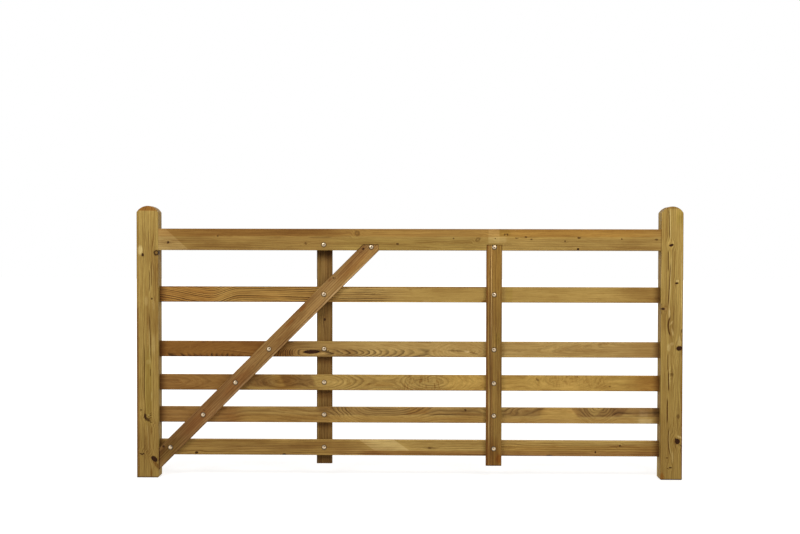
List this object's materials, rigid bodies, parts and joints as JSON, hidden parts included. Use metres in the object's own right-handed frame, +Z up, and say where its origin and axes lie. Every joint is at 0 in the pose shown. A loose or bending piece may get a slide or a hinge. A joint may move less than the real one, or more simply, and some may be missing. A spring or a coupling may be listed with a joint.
{
  "type": "timber field gate leaf",
  "caption": "Planed softwood field gate leaf with round-topped stiles, a deep top rail, closer-set lower rails, uprights front and back and a bolted diagonal brace.",
  "frame": {"origin": "on the outer face of the hanging stile, level with the stile's foot and midway through its thickness", "axes": "+X along the gate from the hanging stile to the closing stile, +Y from front to back, +Z up"},
  "size_m": [2.4, 0.07, 1.2],
  "materials": {
    "stile_timber": "planed pressure-treated softwood, matt, olive to yellow-brown with knots",
    "top_rail_timber": "planed pressure-treated softwood, matt, orange-brown above and olive below",
    "rail_timber": "planed pressure-treated softwood, matt, yellow-brown with darker grain",
    "diagonal_timber": "planed pressure-treated softwood, matt, red-brown",
    "upright_timber": "planed pressure-treated softwood, matt, olive-brown",
    "bolt_zinc": "bright zinc plate on M8 bolts, washers and nuts"
  },
  "bodies": {
    "root": {"hanging_stile": "stile_timber", "closing_stile": "stile_timber", "top_rail": "top_rail_timber", "rail_2": "rail_timber", "rail_3": "rail_timber", "rail_4": "rail_timber", "rail_5": "rail_timber", "rail_6": "rail_timber", "diagonal_brace": "diagonal_timber", "front_upright": "upright_timber", "rear_upright": "upright_timber"}
  },
  "joints": []
}
